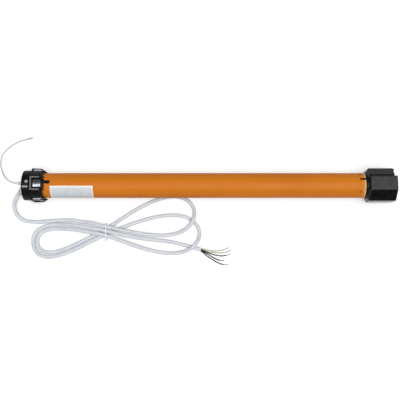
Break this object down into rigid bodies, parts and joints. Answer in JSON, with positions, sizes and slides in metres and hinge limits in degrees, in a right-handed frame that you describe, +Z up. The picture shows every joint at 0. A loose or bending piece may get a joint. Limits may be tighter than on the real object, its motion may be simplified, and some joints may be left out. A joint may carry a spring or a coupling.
{
  "type": "tubular roller blind motor",
  "caption": "Tubular motor with radio head and idler crown at one end and an octagonal drive adapter at the other, turns a roller blind shaft from inside.",
  "frame": {"origin": "middle of the motor's length, on the surface that it lies on, under the axis", "axes": "+X along the motor axis towards the drive adapter, +Z up"},
  "size_m": [0.7209, 0.2381, 0.059],
  "materials": {
    "tube_paint": "satin orange paint",
    "rivet_paint": "orange paint rubbed on the rivet heads",
    "label": "matt film",
    "head_plastic": "fine moulded grain",
    "adapter_plastic": "coarse moulded grain",
    "button_grey": "satin",
    "spring_steel": "bright",
    "machined_steel": "turned",
    "die_cast": "as cast",
    "dark_cast": "cast and blackened",
    "bronze": "turned",
    "copper": "enamelled wire",
    "friction_pad": "moulded",
    "gear_plastic": "moulded",
    "inner_plastic": "moulded",
    "board_green": "lacquered",
    "capacitor_can": "smooth",
    "cable_white": "smooth white jacket",
    "gland_grey": "moulded",
    "tie_nylon": "nylon",
    "core_earth": "striped",
    "core_white": "smooth",
    "core_brown": "smooth",
    "core_black": "smooth",
    "core_blue": "smooth",
    "tinned_copper": "tinned strands"
  },
  "bodies": {
    "motor": {"motor_tube": "tube_paint", "rating_label": "label", "motor_head": "head_plastic", "crown_retaining_ring": "spring_steel", "counter_axle": "machined_steel", "button_switch": "head_plastic", "board_tray": "inner_plastic", "control_board": "board_green", "board_components": "inner_plastic", "run_capacitor": "capacitor_can", "capacitor_clamps": "inner_plastic", "stator_core": "machined_steel", "stator_windings": "copper", "rear_bell": "die_cast", "front_bell": "die_cast", "rotor_bearings": "machined_steel", "brake_coil": "copper", "brake_spring": "spring_steel", "gear_case": "die_cast", "gearbox_cap": "dark_cast", "output_bushes": "bronze", "tube_rivets": "rivet_paint", "cable_gland": "gland_grey", "cable_lead": "cable_white", "cable_hank": "cable_white", "cable_tail": "cable_white", "cable_tie": "tie_nylon", "core_earth": "core_earth", "core_white": "core_white", "core_brown": "core_brown", "core_black": "core_black", "core_blue": "core_blue", "core_ends": "tinned_copper", "aerial_wire": "cable_white", "aerial_tip": "cable_white"},
    "crown": {"crown_ring": "head_plastic", "crown_springs": "spring_steel", "crown_cheeks": "spring_steel"},
    "counter": {"counter_pinion": "gear_plastic", "counter_magnet": "machined_steel"},
    "button": {"setting_button": "button_grey"},
    "armature": {"brake_armature": "machined_steel"},
    "rotor": {"rotor_core": "machined_steel", "rotor_shaft": "machined_steel", "brake_disc": "friction_pad"},
    "carrier_one": {"first_carrier": "machined_steel"},
    "carrier_two": {"second_carrier": "machined_steel"},
    "output": {"output_shaft": "machined_steel", "drive_adapter": "adapter_plastic", "adapter_washer": "machined_steel", "adapter_screw": "machined_steel"},
    "first_planet_1": {"first_planet_1": "gear_plastic"},
    "first_planet_2": {"first_planet_2": "gear_plastic"},
    "first_planet_3": {"first_planet_3": "gear_plastic"},
    "second_planet_1": {"second_planet_1": "gear_plastic"},
    "second_planet_2": {"second_planet_2": "gear_plastic"},
    "second_planet_3": {"second_planet_3": "gear_plastic"},
    "third_planet_1": {"third_planet_1": "gear_plastic"},
    "third_planet_2": {"third_planet_2": "gear_plastic"},
    "third_planet_3": {"third_planet_3": "gear_plastic"}
  },
  "joints": [
    {"name": "output_spin", "type": "hinge", "parent": "motor", "child": "output", "pos_m": [0.3, 0, 0.0295], "axis": [1, 0, 0], "continuous": true},
    {"name": "carrier_two_spin", "type": "hinge", "parent": "motor", "child": "carrier_two", "pos_m": [0.19, 0, 0.0295], "axis": [1, 0, 0], "continuous": true},
    {"name": "carrier_one_spin", "type": "hinge", "parent": "motor", "child": "carrier_one", "pos_m": [0.17, 0, 0.0295], "axis": [1, 0, 0], "continuous": true},
    {"name": "rotor_spin", "type": "hinge", "parent": "motor", "child": "rotor", "pos_m": [0.06, 0, 0.0295], "axis": [1, 0, 0], "continuous": true},
    {"name": "crown_spin", "type": "hinge", "parent": "motor", "child": "crown", "pos_m": [-0.306, 0, 0.0295], "axis": [1, 0, 0], "continuous": true},
    {"name": "counter_spin", "type": "hinge", "parent": "motor", "child": "counter", "pos_m": [-0.315, -0.01663, 0.0199], "axis": [1, 0, 0], "continuous": true},
    {"name": "button_press", "type": "slide", "parent": "motor", "child": "button", "axis": [0, -0.1219, -0.9925], "range_m": [0, 0.0012], "stiffness_N_per_m": 500},
    {"name": "brake_release", "type": "slide", "parent": "motor", "child": "armature", "axis": [-1, 0, 0], "range_m": [0, 0.0004], "stiffness_N_per_m": 2000},
    {"name": "first_planet_1_spin", "type": "hinge", "parent": "carrier_one", "child": "first_planet_1", "pos_m": [0.166, 0, 0.0403], "axis": [1, 0, 0], "continuous": true},
    {"name": "first_planet_2_spin", "type": "hinge", "parent": "carrier_one", "child": "first_planet_2", "pos_m": [0.166, -0.00935, 0.0241], "axis": [1, 0, 0], "continuous": true},
    {"name": "first_planet_3_spin", "type": "hinge", "parent": "carrier_one", "child": "first_planet_3", "pos_m": [0.166, 0.00935, 0.0241], "axis": [1, 0, 0], "continuous": true},
    {"name": "second_planet_1_spin", "type": "hinge", "parent": "carrier_two", "child": "second_planet_1", "pos_m": [0.185, 0, 0.0403], "axis": [1, 0, 0], "continuous": true},
    {"name": "second_planet_2_spin", "type": "hinge", "parent": "carrier_two", "child": "second_planet_2", "pos_m": [0.185, -0.00935, 0.0241], "axis": [1, 0, 0], "continuous": true},
    {"name": "second_planet_3_spin", "type": "hinge", "parent": "carrier_two", "child": "second_planet_3", "pos_m": [0.185, 0.00935, 0.0241], "axis": [1, 0, 0], "continuous": true},
    {"name": "third_planet_1_spin", "type": "hinge", "parent": "output", "child": "third_planet_1", "pos_m": [0.204, 0, 0.0403], "axis": [1, 0, 0], "continuous": true},
    {"name": "third_planet_2_spin", "type": "hinge", "parent": "output", "child": "third_planet_2", "pos_m": [0.204, -0.00935, 0.0241], "axis": [1, 0, 0], "continuous": true},
    {"name": "third_planet_3_spin", "type": "hinge", "parent": "output", "child": "third_planet_3", "pos_m": [0.204, 0.00935, 0.0241], "axis": [1, 0, 0], "continuous": true}
  ],
  "couplings": [
    {"joint": "carrier_two_spin", "follows": "output_spin", "ratio": 4.5},
    {"joint": "carrier_one_spin", "follows": "output_spin", "ratio": 20.25},
    {"joint": "rotor_spin", "follows": "output_spin", "ratio": 91.125},
    {"joint": "counter_spin", "follows": "crown_spin", "ratio": 5},
    {"joint": "first_planet_1_spin", "follows": "output_spin", "ratio": -56.7},
    {"joint": "first_planet_2_spin", "follows": "output_spin", "ratio": -56.7},
    {"joint": "first_planet_3_spin", "follows": "output_spin", "ratio": -56.7},
    {"joint": "second_planet_1_spin", "follows": "output_spin", "ratio": -12.6},
    {"joint": "second_planet_2_spin", "follows": "output_spin", "ratio": -12.6},
    {"joint": "second_planet_3_spin", "follows": "output_spin", "ratio": -12.6},
    {"joint": "third_planet_1_spin", "follows": "output_spin", "ratio": -2.8},
    {"joint": "third_planet_2_spin", "follows": "output_spin", "ratio": -2.8},
    {"joint": "third_planet_3_spin", "follows": "output_spin", "ratio": -2.8}
  ]
}
